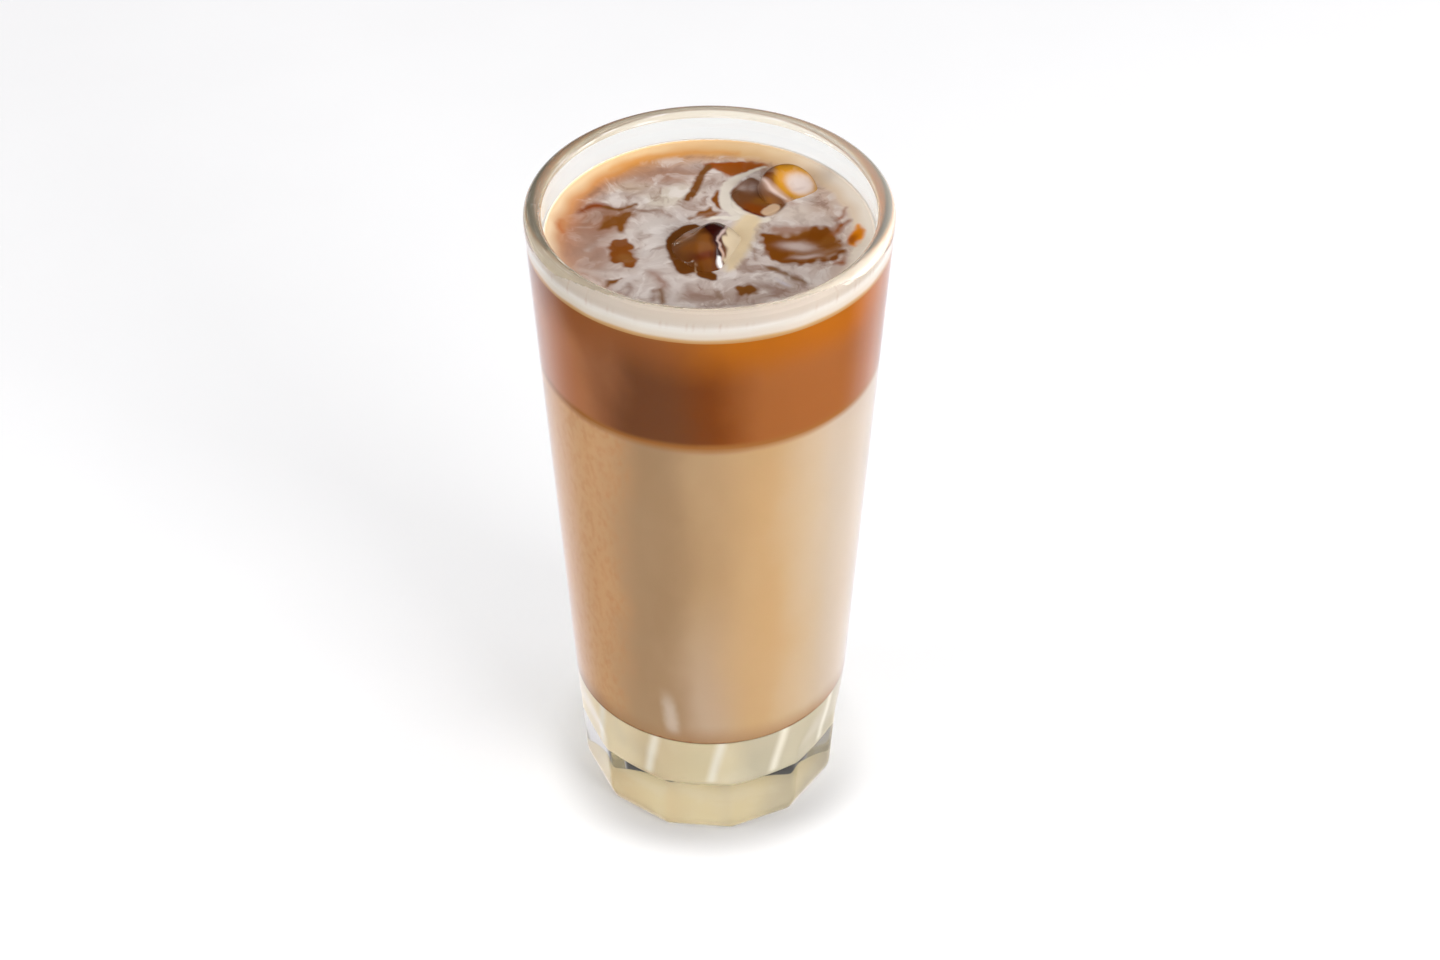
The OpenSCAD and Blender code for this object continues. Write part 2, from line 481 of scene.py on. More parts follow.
def latte_finish():
    """Even milky brown, cloudier and paler low down, with coffee drawn into its top."""
    f = Finish("latte")
    p = f.place()
    x, y, z = f.axes(p)
    height = (z - sweet_milk_top) / (latte_top - sweet_milk_top)
    clouds = f.noise(f.stretched(f.warped(p, 14, 8), 1, 1, 0.45), 16, 3)
    front = 1 - y.above(*front_share)
    side = (x + (clouds - 0.5) * 9.0) * front + (1 - front) * 4.0
    # Across the front it goes from orange at the left edge, past a duller band, to pale at the right. This
    # is partly the latte's own uneven colour and partly painted light and shade: lit at the left edge and
    # the right, shaded in the duller band
    middle = f.mix(colour("c4ab92"), colour("bf9f78"), height.above(0.1, 0.6))
    right = f.mix(colour("cca97c"), colour("cdb596"), side.above(10.0, 20.0))
    right = f.mix(right, colour("d0c0ae"), side.above(18.0, 25.0))
    body = f.mix(colour("ad8e6c"), f.mix(middle, right, side.above(-1.0, 10.0)), side.above(-10.0, -1.0))
    body = f.mix(colour("d8ad80"), body, side.above(-23.0, -13.0))
    grain = f.noise(f.stretched(p, 1, 1, 0.6), 1.3, 3)
    body = f.mix(body, colour("c88c58"), grain.above(0.4, 0.75) * (1 - side.above(-20.0, -14.0)) * 0.45)
    body = f.mix(body, colour("d3b896"), (clouds - 0.35) * 0.6)
    # One wisp of milk rises in it, and it is brown where it rests on the milk
    off_wisp = (x + 8.0 + (z - 33) * 0.1 + (grain - 0.5) * 0.8).absolute()
    wisp = (1 - off_wisp.above(0.1, 2.4)) * z.above(29.5, 33.0) * (1 - z.above(38.0, 47.0))
    wisp = wisp * (1 - y.above(-1.0, 0.0))
    body = f.mix(body, colour("d9cabb"), wisp * 0.75)
    body = f.mix(colour("ab8562"), body, (height + (clouds - 0.5) * 0.07).above(-0.02, 0.07))
    body = f.mix(colour("8f5a3c"), body, (height + (grain - 0.5) * 0.016).above(-0.002, 0.006))
    drawn = (height + (clouds - 0.5) * 0.012).above(0.978, 1.0)
    return f.surface(Base_Color=f.mix(body, colour("a8713e"), drawn * 0.8), **against_glass)


def coffee_finish():
    """Brown coffee, most orange just under the milk and dull where it meets the latte."""
    f = Finish("coffee")
    p = f.place()
    x, y, z = f.axes(p)
    height = (z - latte_top) / (coffee_top - latte_top)
    clouds = f.noise(f.stretched(f.warped(p, 12, 6), 1, 1, 0.6), 14, 3)
    front = 1 - y.above(*front_share)
    side = (x + (clouds - 0.5) * 8.0) * front + (1 - front) * 4.0
    # Across the front it goes from pale at the left edge, past a dark band, to orange-brown at the right.
    # This is partly the coffee's own uneven colour and partly painted light and shade: lit at the left edge
    # and the right, shaded in the dark band
    right = f.mix(colour("84461c"), colour("a96838"), side.above(-1.0, 11.0))
    body = f.mix(colour("764a2f"), right, side.above(-10.0, 3.0))
    body = f.mix(colour("bd7f58"), body, side.above(-27.0, -14.0))
    bright = f.mix(colour("985c34"), colour("b96a1c"), side.above(-13.0, 6.0))
    body = f.mix(body, bright, (height + (clouds - 0.5) * 0.3).above(0.55, 1.0))
    body = f.mix(colour("a8713e"), body, (height + (clouds - 0.5) * 0.04).above(0.0, 0.06))
    return f.surface(Base_Color=body, **against_glass)


drink_layer("sweet_milk_fill", "sweet_milk", base_t, sweet_milk_top, sweet_milk_finish())
drink_layer("latte_fill", "latte", sweet_milk_top, latte_top, latte_finish())
drink_layer("coffee_fill", "coffee", latte_top, coffee_top, coffee_finish())


# ---------------------------------------------------------------------------
# The milky top: a thin film of milk over the coffee, drawn into swirls when the
# ice was stirred. A ring of thicker milk climbs the wall, and cream runs between the ice.
# ---------------------------------------------------------------------------
level_ice_rise = 0.3                            # the level piece of ice stands this far out of the drink
level_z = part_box("ice_level")[1].z / MM - level_ice_rise
collar_w = 5.0                                  # ring of milk round the wall
collar_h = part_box("cream")[1].z / MM - level_z
collar_cut = 0.1                                # the ring stops this far below the top of its box
cling_h = 4.2                                   # film of milk on the front wall, above the ring
surface_r = inner_r(level_z) + wetting
sight_slope = 1.18                              # what stands proud by 1 looks this far back


def rounded(points, closed):
    """A line or outline of points with its corners cut twice."""
    for turn in range(2):
        ends = points[1:] + points[:1] if closed else points[1:]
        cut = [tuple(p + (q - p) * share for p, q in zip(a, b)) for a, b in zip(points, ends)
               for share in (0.25, 0.75)]
        points = cut if closed else [points[0], *cut, points[-1]]
    return points


class Painting:
    """Colours laid in soft patches and strokes on the points of a piece, as seen from the front.

    Places are x and y on the level surface of the drink. A point over it counts as further back.
    """

    def __init__(self, points, code):
        self.x = points[:, 0]
        self.y = points[:, 1]
        self.z = points[:, 2]
        self.u = self.x + self.wander(0.24, 7.0, 0.0) + self.wander(0.04, 1.9, 2.0)
        self.v = self.y + (points[:, 2] - level_z) * sight_slope
        self.v = self.v + self.wander(0.24, 7.0, 4.0) + self.wander(0.04, 1.9, 6.0)
        self.colours = np.tile(colour(code), (len(points), 1))
        self.film = np.ones(len(points))

    def wander(self, reach, size, start):
        """A smooth wandering value from about -reach to reach."""
        total = 0
        for turn in range(5):
            angle = start + 1.26 * turn
            along = self.x * math.cos(angle) + self.y * math.sin(angle)
            total = total + np.sin(along * 6.28 / size * (1 + 0.13 * turn) + 1.7 * turn + start)
        return reach * total / 2.5

    def lay(self, code, share, film=0.06):
        """Mixes a colour in, and leaves the given share of film that the threads of milk show in."""
        share = np.clip(share, 0, 1)
        self.film = self.film * (1 - share * (1 - film))
        self.colours = self.colours * (1 - share[:, None]) + np.array(colour(code)) * share[:, None]

    def wash(self, code, share, x, y, half_w, half_h, turn=0, crisp=1.5, film=1.0):
        """An oval that fades outwards, with a harder edge the crisper it is."""
        angle = math.radians(turn)
        across = (self.u - x) * math.cos(angle) + (self.v - y) * math.sin(angle)
        along = (self.v - y) * math.cos(angle) - (self.u - x) * math.sin(angle)
        self.lay(code, share * np.exp(-((across / half_w) ** 2 + (along / half_h) ** 2) ** crisp), film)

    def off_segment(self, a, b):
        """Distance to a line between two points, and the share of the way along it."""
        across, up = b[0] - a[0], b[1] - a[1]
        way = ((self.u - a[0]) * across + (self.v - a[1]) * up) / (across * across + up * up)
        way = np.clip(way, 0, 1)
        return np.hypot(self.u - a[0] - way * across, self.v - a[1] - way * up), way

    def patch(self, code, share, soft, *outline, ragged=0.3):
        """Colour inside a closed outline, with a soft edge that may be ragged."""
        inside = np.zeros(self.u.shape, bool)
        nearest = np.full(self.u.shape, 1000.0)
        outline = rounded(list(outline), True)
        for a, b in zip(outline, outline[1:] + outline[:1]):
            nearest = np.minimum(nearest, self.off_segment(a, b)[0])
            crossing = (b[0] - a[0]) * (self.v - a[1]) / (b[1] - a[1] + 1e-9) + a[0]
            inside ^= ((a[1] > self.v) != (b[1] > self.v)) & (self.u < crossing)
        depth = np.where(inside, nearest, -nearest)
        depth = depth + self.wander(ragged, 3.1, 1.0)
        self.lay(code, share * (0.5 + depth / (2 * soft)))

    def stroke(self, code, share, soft, *points):
        """Colour along a line of points, each with the width of the stroke there."""
        best = np.full(self.u.shape, -1000.0)
        points = rounded(list(points), False)
        for a, b in zip(points, points[1:]):
            off, way = self.off_segment(a, b)
            best = np.maximum(best, (a[2] + (b[2] - a[2]) * way) / 2 - off)
        best = best + self.wander(0.1, 2.7, 5.0)
        self.lay(code, share * (0.5 + best / (2 * soft)))

    def keep(self, piece):
        """Stores the colours on the piece's points."""
        tint = piece.data.color_attributes.new("tint", "FLOAT_COLOR", "POINT")
        four = np.concatenate([self.colours, self.film[:, None]], axis=1)
        tint.data.foreach_set("color", four.ravel())


def blended(stops, at):
    """Colours for the values in at, worked out between stops of (value, colour code)."""
    table = np.array([colour(code) for _, code in stops])
    values = [value for value, _ in stops]
    return np.stack([np.interp(at, values, table[:, i]) for i in range(3)], axis=1)


def paint_ring(p):
    """The ring round the wall: pale outside, with an inner edge that is orange at the back and left."""
    off_axis = np.hypot(p.x, p.y) + p.wander(0.35, 9, 1.0)
    turn = np.degrees(np.arctan2(p.y, p.x))
    turn = np.where(turn < -90, turn + 360, turn)
    # Round the ring the outside is partly painted light and shade: palest at the right and darker round the
    # left. The shade stops paint a shaded band just inside the inner edge
    outer = [(-90, "e6dcc8"), (0, "f8eedf"), (40, "f2e4d2"), (62, "e4caa4"), (80, "dcba8c"),
             (95, "dfb988"), (130, "e0c092"), (165, "e2c8a2"), (200, "dcc8ac"), (270, "e6dcc8")]
    inner = [(-90, "d8c4ae"), (-12, "ecdfce"), (10, "ead6be"), (40, "e2c8a8"), (75, "d9b07c"),
             (120, "d2904a"), (150, "d0915a"), (180, "c08860"), (200, "c09a80"), (270, "d8c4ae")]
    shade = [(-90, "cbb8ac"), (20, "d6c0b0"), (75, "cfa27c"), (120, "c8946c"), (165, "b87e5c"),
             (200, "b48c76"), (270, "cbb8ac")]

    def step(low, high):
        return np.clip((off_axis - low) / (high - low), 0, 1)[:, None] ** 1.2

    # Each tint takes over between two distances from the axis
    for stops, low, high in ((shade, 25.5, 28.8), (inner, 28.8, 30.3), (outer, 30.5, 33.0)):
        share = step(low, high)
        p.colours = p.colours * (1 - share) + blended(stops, turn) * share
    p.film = p.film * (1 - step(27.5, 31.0)[:, 0])
    # The milk that clings to the wall, from its brown lower edge to the dry streaks at the top
    up_wall = p.z + p.wander(0.12, 14, 3.0) - coffee_top
    cling = [(0.0, "be8c52"), (0.7, "d2ab78"), (1.3, "e6dacb"), (2.6, "ebe5da"), (3.3, "f8f5f0"),
             (4.2, "dad1c6"), (6.5, "cdbdab")]
    bands = blended(cling, up_wall)
    at_wall = (np.hypot(p.x, p.y) > inner_r(p.z) - 0.3)[:, None]
    p.colours = np.where(at_wall, bands, p.colours)
    dry = (np.sin(turn * 2.3) + np.sin(turn * 3.7 + 1) + np.sin(turn * 5.9 + 2)) / 3
    high = np.clip(1 - np.abs(up_wall - 4.2) / 0.9, 0, 1)
    p.lay("b08058", np.where(at_wall[:, 0], high * (dry - 0.35) * 0.9, 0))


def paint_clouds(p):
    """The soft patches of thicker and thinner milk that lie under everything else."""
    p.wash("b29483", 1.0, -27, -3, 9, 14, film=0.5)
    p.wash("a0735a", 0.9, -25, 4.5, 6, 5, film=0.4)
    p.wash("b89480", 0.9, -14, 22.5, 13, 4.6)
    p.wash("c5ac94", 0.8, -16, 17, 5, 2.4)
    p.wash("ad8c7c", 0.6, -10, 22.5, 6, 1.6, -10)
    p.wash("d6cab8", 1.0, -8.5, 14, 6.5, 3.4, 35)
    p.wash("dacfc6", 0.9, -11.8, -2, 3.4, 10)
    p.wash("b49a8b", 0.8, 2, -21.5, 9, 3.6)
    p.wash("b29a8c", 0.8, 13, -18.5, 6, 4)
    p.wash("d8c9bb", 1.0, 18, 8, 7, 3.6, film=0.4)
    p.wash("c4a896", 0.9, 24.5, 11, 4, 5)
    p.wash("bfa496", 0.7, 22, -12, 6, 2.2, 20)
    p.wash("a98069", 0.8, -10, 22.6, 9, 2.6, -8, film=0.4)
    p.wash("a5826f", 0.8, -25, -9.5, 4, 3, film=0.4)


def paint_swirls(p):
    """Strokes where the milk was drawn out, some paler and some greyer than the film."""
    p.stroke("b09a90", 0.6, 0.8, (-24, 13, 0.6), (-20, 15.3, 0.9), (-16, 15.2, 0.9), (-12, 16.5, 0.8),
            (-8, 20, 0.6))
    p.stroke("a98f84", 0.5, 0.8, (-15, 13.5, 0.4), (-14, 11.5, 0.8), (-12, 9.8, 0.6))
    p.stroke("d8cdc3", 0.8, 0.8, (-24.5, -5, 1), (-22.4, -1.6, 1.8), (-19, 0.4, 1.8), (-14, 2, 1.6),
            (-10, 6.5, 2))
    p.stroke("d0c2b8", 0.7, 0.8, (-26, -12, 0.8), (-21, -13.6, 1.6), (-16, -13, 1.4), (-13, -9.5, 1.2))
    p.stroke("a4877a", 0.6, 0.6, (-26, -10, 0.6), (-22, -12.3, 0.6), (-18, -12.2, 0.5))
    p.stroke("9c7c6c", 0.5, 0.8, (-24, -2, 0.8), (-23, -5, 0.8), (-22.6, -7.4, 1))
    p.stroke("d8ccc4", 0.8, 0.7, (-19.6, -20, 1.6), (-17.6, -16.6, 1.8), (-14.6, -14, 1.6))
    p.stroke("d6c9c0", 0.8, 0.8, (-7.6, -23, 2), (-7, -18.6, 2.2), (-5, -15.6, 1.6))
    p.stroke("d3c4ba", 0.8, 0.7, (11, -8.6, 1.4), (13.6, -10.6, 1.4), (17.4, -12, 1.6), (21, -14.2, 1.4))
    p.stroke("cdbbb0", 0.7, 0.5, (23, 1.5, 0.5), (25, -0.6, 0.6), (27.6, 2.6, 0.5), (29.3, 6, 0.5))


def paint_back_windows(p):
    """Clear windows behind the largest piece of ice, with orange and brown coffee in them."""
    p.patch("9c510f", 1.0, 0.45, (-1.2, 25.8), (0, 26.8), (3, 26.6), (5, 27.2), (8, 27.2), (10.5, 26.2),
            (12.3, 26), (10.5, 24.6), (7, 23), (5, 21.5), (3.8, 20.9), (3.2, 22.3), (0.8, 24.5),
            (-0.6, 24))
    p.patch("a04c01", 0.9, 0.8, (-1, 26.8), (12.3, 26.2), (9.5, 25.2), (-0.8, 25.2))
    p.stroke("7b491a", 1.0, 0.35, (-0.4, 25.4, 1.8), (-2.3, 20.8, 1.6), (-3, 17, 1.8), (-4, 15, 2.0),
            (-4.6, 12.8, 1.8))
    p.stroke("b49c90", 0.8, 0.3, (-3.9, 13.6, 0.3), (-3.6, 12, 0.5), (-4.2, 11.6, 0.3))
    p.stroke("8a6a58", 0.6, 0.9, (0.6, 20.6, 1.4), (-0.8, 19.4, 1.2), (-1.6, 17.4, 0.8))
    p.stroke("86490d", 1.0, 0.3, (1.6, 16, 0.6), (1.1, 13, 1.5), (1.8, 11.3, 1.2), (2.5, 9.6, 0.8))
    p.patch("874f1c", 0.95, 0.5, (-5, 5.2), (-2.5, 6.4), (0, 6.2), (2.4, 8), (1, 8.9), (0.2, 10.3),
            (-1, 9.6), (-2.5, 8))
    p.stroke("a07c68", 0.8, 0.5, (-2.4, 7, 0.6), (0.4, 8, 0.7), (2, 8.6, 0.6))


def paint_left_windows(p):
    """Clear windows at the left, with brown coffee in them and thin milk between."""
    p.wash("94664a", 0.8, -20, 7.8, 5.5, 3.2, film=0.3)
    p.wash("9c7460", 0.6, -22, -2.5, 4, 6, film=0.5)
    p.stroke("8a3e0c", 0.95, 0.7, (-26.8, 8.2, 0.8), (-25, 10.4, 2.2), (-23.4, 11.2, 2.2),
            (-21.5, 10.1, 1.6))
    p.stroke("7b4916", 1.0, 0.35, (-22, 10.2, 1.2), (-19.3, 9.4, 0.9), (-17.3, 10.1, 1.0),
            (-15.4, 11.2, 0.6))
    p.patch("834c16", 0.95, 0.6, (-16.2, 9.4), (-15.6, 8.2), (-16.8, 6), (-17.2, 3), (-17.4, 1.5),
            (-18.5, 1.3), (-19.5, 2.8), (-21, 2.6), (-22.8, 1.8), (-23, 3), (-22.3, 5), (-21.5, 6.5),
            (-19, 7.3), (-18, 8.8))
    p.stroke("8a6450", 0.8, 0.5, (-15.8, 9.5, 0.9), (-13, 8.8, 1.1), (-10.2, 8.8, 0.7))
    p.patch("864812", 1.0, 0.4, (-17, -0.6), (-16.5, -2.5), (-15.6, -4), (-16, -5.2), (-15, -7),
            (-14.7, -9.5), (-15.6, -11), (-16.8, -11.2), (-18, -9.8), (-20, -9.2), (-20.4, -7.5),
            (-20.1, -5.5), (-20.8, -4.2), (-20.2, -2.8), (-18.5, -1.2))
    p.wash("96622f", 0.7, -17, -8, 1.8, 1.6)
    p.patch("7c4917", 1.0, 0.35, (-20.9, -15.2), (-18.8, -14.9), (-17.2, -14.4), (-18.6, -15.7),
            (-19.8, -16.9), (-20.2, -18.3), (-20.8, -17))
    p.stroke("8a6a5c", 0.7, 0.6, (-16, -17, 0.6), (-16.2, -19, 0.8), (-16.8, -20.6, 0.8))


def paint_near_windows(p):
    """The small windows and brown wisps along the near side."""
    p.stroke("a58272", 0.8, 0.8, (-12.4, -12.5, 1.2), (-10.8, -13.8, 1.4), (-9.6, -15.5, 2.4),
            (-8.6, -16.6, 2.2), (-9.4, -18.4, 1.6), (-10.4, -19, 1.0))
    p.stroke("8a6654", 0.8, 0.5, (-11.2, -19.2, 0.8), (-11.1, -22, 0.9))
    p.stroke("7d5531", 0.9, 0.5, (-9.9, -19, 0.9), (-9.8, -21.5, 1.0), (-9.2, -23.2, 1.2))
    p.stroke("93705f", 0.7, 0.9, (-4.4, -17.8, 1.2), (-3.8, -19.6, 1.8), (-2.2, -21.2, 1.6),
            (0.2, -21.6, 1.0))
    p.stroke("a08272", 0.6, 0.8, (-5.2, -21.4, 0.8), (-3.5, -22, 1.2))
    p.stroke("7f5c39", 0.7, 0.5, (1.9, -20, 0.8), (2.2, -21.4, 0.7))
    p.stroke("94786a", 0.7, 0.5, (-1.5, -24.2, 0.6), (2, -24, 0.6), (6, -23.8, 0.4))
    p.patch("7f4c19", 1.0, 0.45, (5.2, -17.2), (6.4, -17.7), (7.2, -16.9), (8.6, -17), (9.8, -17.9),
            (10.2, -18.7), (9.5, -19.8), (8.3, -20), (8, -21.2), (7.5, -20), (7, -20.1), (6.6, -21),
            (5.6, -20), (5.2, -18.6))
    p.patch("93725d", 0.85, 0.6, (11.2, -10.6), (12.6, -10.8), (14.4, -11.4), (16.6, -13.2),
            (19, -15.6), (20.2, -17), (18.6, -17.4), (17, -16), (15, -13.8), (13, -12.8), (11.6, -11.6))
    p.wash("7c5129", 0.9, 12.9, -11.5, 1.4, 0.8, -20)
    for x, y in ((15.2, -12.9), (16.6, -14.4), (17.9, -15.6)):
        p.stroke("80613e", 0.6, 0.3, (x, y, 0.35), (x + 1.0, y - 0.9, 0.45))
    p.stroke("d6cfd6", 0.8, 0.5, (13.4, -15.2, 0.4), (15.2, -16.4, 0.8), (16.4, -17.3, 0.4))
    p.stroke("98786a", 0.7, 0.8, (9.8, -14.3, 0.8), (11.8, -14, 0.8))
    p.stroke("9c7f72", 0.7, 0.9, (10.5, -17, 0.9), (12.2, -17.4, 0.9), (13, -19.8, 0.7))
    p.stroke("8c6a58", 0.7, 0.7, (6.8, -9, 0.8), (7.4, -11.2, 1.0), (8.6, -12.3, 1.0))
    p.stroke("94705c", 0.8, 0.5, (8.2, -3, 0.4), (9, -5, 0.8), (9.4, -7.4, 0.7), (9.7, -8.8, 0.4))


def paint_right_windows(p):
    """The large window at the right, with wisps of milk across it, and the orange one by the wall."""
    p.patch("ab8775", 0.9, 0.8, (11.8, 0.8), (12.4, 3), (15, 3.6), (18, 3.4), (20.6, 4.2), (21, 1),
            (17, 0.2), (13.6, 0.6))
    p.patch("8d541a", 0.85, 0.9, (10.5, 0.2), (13, 1), (17, 0.2), (21, 3.5), (24.5, 3), (26.5, -1),
            (28.2, -4.4), (24, -9), (18.8, -10), (14, -9), (11.6, -6.4))
    p.patch("814609", 1.0, 0.4, (10.1, 0.1), (11.5, 0.8), (13.5, 0.2), (15.4, -1), (15.2, -3.2),
            (16.2, -5.5), (16.6, -7.6), (18.2, -8.9), (21, -8.7), (23.6, -8.2), (25.4, -6.6),
            (26.8, -5), (28.2, -4.4), (27.6, -6), (26, -7.6), (24.2, -9.2), (21, -9.5), (18.8, -10.3),
            (16, -9.8), (14, -9.2), (12.4, -8.1), (11.6, -6.4), (11.4, -4), (10.9, -1.8))
    p.patch("824506", 1.0, 0.6, (15, -0.9), (18, -0.6), (20.3, 0.4), (20.6, 2.4), (21.4, 3.9),
            (23, 3.2), (24.8, 3.2), (25.2, 1.4), (24, -0.6), (22.6, -2.5), (21.2, -2.3), (19.5, -1.2),
            (17, -1.6), (15.6, -1.8))
    p.wash("ccb8ae", 1.0, 18, -3.8, 3.8, 1.7, -8)
    p.wash("c6afa4", 0.95, 20, -7.3, 3.4, 0.8, 8)
    p.stroke("9c765e", 0.8, 0.5, (18, -5.9, 0.5), (21, -6.1, 1.0), (24.4, -5.8, 0.8), (26.4, -4.4, 0.5))
    p.stroke("854b11", 0.95, 0.5, (22.4, -4, 0.7), (25, -3.4, 1.5), (26.6, -1.8, 0.8))
    p.stroke("974f12", 0.9, 0.6, (24.8, 0, 0.6), (26.4, 2.2, 1.6), (28.6, 5.4, 1.2))
    p.stroke("9a4b07", 0.9, 0.5, (26, 5.2, 0.4), (27.6, 7.4, 1.1), (28.5, 9.6, 0.5))
    p.patch("985327", 0.8, 0.6, (24.6, -9), (26.4, -8.2), (27.4, -7.2), (28, -9.8), (26, -10.1),
            (24.8, -10.4))
    p.patch("ee9412", 1.0, 0.5, (30.9, 4.2), (31.5, 2), (31.6, 0), (30.8, -1.8), (29.6, -3.8),
            (28.6, -2.4), (28.9, -0.6), (30, 1), (30.4, 3))
    p.wash("dc8008", 1.0, 30.3, 0.4, 1.3, 3.0, -22, 2.5, film=0.0)
    p.wash("a14b01", 0.9, 29.4, -1.4, 0.9, 2.0, -25)


def paint_ring_edge(p):
    """Coffee that shows orange at the inner edge of the ring, at the left and along the back."""
    p.stroke("b8652a", 0.8, 0.7, (-31, 5.4, 0.8), (-30.8, 3.4, 1.4), (-30.2, 1.4, 0.8))
    p.stroke("d88f38", 0.6, 0.8, (-21, 24, 0.6), (-16, 27.6, 1.2), (-10, 29.8, 1.0), (-2, 31, 0.8),
            (6, 30.4, 0.8))


def paint_cream(p):
    """Cream that runs round the ice and between the pieces."""
    p.stroke("e2d8c8", 1.0, 0.3, (11.4, 25.3, 0.5), (7.6, 22.7, 1.6), (4.8, 20.2, 2.1),
            (3.2, 16.8, 2.1), (3.2, 13.4, 2.5), (4.2, 10.4, 3.2), (6.4, 7.8, 4.0), (8.6, 6.4, 3.8),
            (11.6, 5.6, 1.6))
    p.stroke("e3cda6", 1.0, 0.9, (8.4, 5.8, 3.8), (7.6, 3, 5.2), (6.4, 0, 6.2), (5.8, -3, 5.6),
            (5.4, -6, 4.2), (4.8, -8.8, 3.2), (3.8, -11.6, 1.8))
    p.wash("dcc39c", 0.9, 5.4, -0.5, 2.6, 2.8)
    p.wash("dec9a6", 0.8, 4.6, -7, 1.3, 3.2)
    p.stroke("e8dfd0", 1.0, 0.25, (5.4, 6.4, 2.0), (2, 6.3, 1.1), (-1.2, 6.0, 0.3))


def paint_milk(p):
    """The whole milk film: clouds, ring and swirls, the clear windows in it and the cream on it."""
    paint_clouds(p)
    paint_ring(p)
    paint_swirls(p)
    paint_back_windows(p)
    paint_left_windows(p)
    paint_near_windows(p)
    paint_right_windows(p)
    paint_ring_edge(p)
    paint_cream(p)


def paint_level_ice(p):
    """The top of the level piece of ice, wet with coffee and streaked with milk."""
    p.patch("6e4426", 1.0, 0.3, (9.5, 21.2), (7.6, 20.4), (5.6, 18.6), (4.4, 16.2), (4.2, 14),
            (5, 11.6), (6.6, 9.6), (8.6, 8.3), (10.3, 7.4), (11.3, 6.4), (13.6, 7.6), (15.4, 9.4),
            (16.2, 11.6), (15.4, 13.4), (12.6, 17), ragged=0.04)
    p.wash("8c6c5c", 0.9, 8.8, 17.8, 3.8, 2.2, -15)
    p.wash("ab958a", 0.8, 7.0, 17.4, 1.2, 1.0)
    p.wash("ab958a", 0.8, 9.2, 17.6, 0.9, 1.3)
    p.wash("843f05", 0.95, 9.6, 9.6, 3.0, 1.9, -30)
    p.wash("855217", 0.8, 11.4, 12.6, 2.6, 1.6)
    p.stroke("5a1d07", 0.9, 0.3, (6.6, 9.9, 0.3), (8.4, 8.5, 0.6), (10.3, 7.5, 0.6), (11.2, 6.5, 0.4))
    p.patch("bfa394", 0.85, 0.7, (10.2, 21), (12, 19.4), (14.4, 16.6), (16.4, 13.6), (18, 12),
            (18.6, 10.8), (16.4, 10.4), (15.9, 12.6), (13.6, 15), (11.4, 17.6), ragged=0.1)
    p.stroke("ccb6aa", 0.9, 0.35, (9.6, 21.3, 0.4), (12, 18, 0.5), (14, 15.2, 0.6), (15.8, 13.2, 0.4))
    p.patch("c6a686", 1.0, 0.25, (10.7, 8.2), (11.6, 6.8), (12.9, 6.9), (14.4, 8.6), (15, 10),
            (14.3, 11.1), (13, 11.4), (11.7, 10.6), (11, 9.4), ragged=0.04)


def paint_big_ice_flank(p):
    """Where the largest piece of ice shows amber through the edge of the film."""
    p.patch("6c3b0a", 1.0, 0.25, (-9.2, 0), (-9, -4), (-8.3, -8), (-7, -10.5), (-6.2, -12.6),
            (-5.7, -13.6), (-4.8, -14), (-3.9, -13.2), (-3, -12.3), (-2.7, -14.2), (-1, -15),
            (1.6, -15.7), (2, -14), (0.4, -12.6), (1, -8), (3, -4), (2, 2), (-4, 5), ragged=0.06)
    p.stroke("c8a884", 0.9, 0.2, (-2.9, -9.6, 0.15), (-2.8, -12.4, 0.3))
    p.stroke("6e3c0a", 0.7, 0.4, (-8.4, -7.4, 0.5), (-5, -10, 0.8), (-2, -10.6, 0.6))


def tinted_finish(name, dark, pale, marbling, roughness):
    """The painted colours, with drifting threads of coffee and milk where the film is left."""
    f = Finish(name)
    p = f.place()
    tint = f.node("ShaderNodeAttribute", {"attribute_name": "tint"}, output="Color")
    film = f.node("ShaderNodeAttribute", {"attribute_name": "tint"}, output="Alpha")
    drift = f.stretched(f.warped(f.warped(p, 11, 13), 3.6, 4.0), 1, 1, 0.3)
    threads = f.noise(drift, 4.4, 4, 0.55)
    fine = f.noise(p, 0.9, 3, 0.6)
    amount = film * marbling
    body = f.mix(tint, colour(dark), (1 - threads).above(0.5, 0.66) * (fine * 0.8 + 0.4) * amount)
    body = f.mix(body, colour(pale), threads.above(0.5, 0.64) * (1.1 - fine * 0.5) * amount)
    grain = f.bump(threads * 0.6 + fine * 0.4, 0.05, 0.5)
    return f.surface(
        Base_Color=body, Roughness=roughness, IOR=1.34, Specular_IOR_Level=0.3, Normal=grain)


def top_height(x, y):
    """Height of the surface over the level: the ring climbs the wall, and it ripples a little."""
    off_axis = np.hypot(x, y)
    climb = np.clip((off_axis - (surface_r - collar_w)) / collar_w, 0, 1)
    ripple = 0.05 * np.sin(x * 0.9 + 1.2 * np.sin(y * 0.5)) * np.sin(y * 0.8 + 1.1 * np.sin(x * 0.4))
    return climb ** 2 * (collar_h - collar_cut) + ripple * (1 - climb)


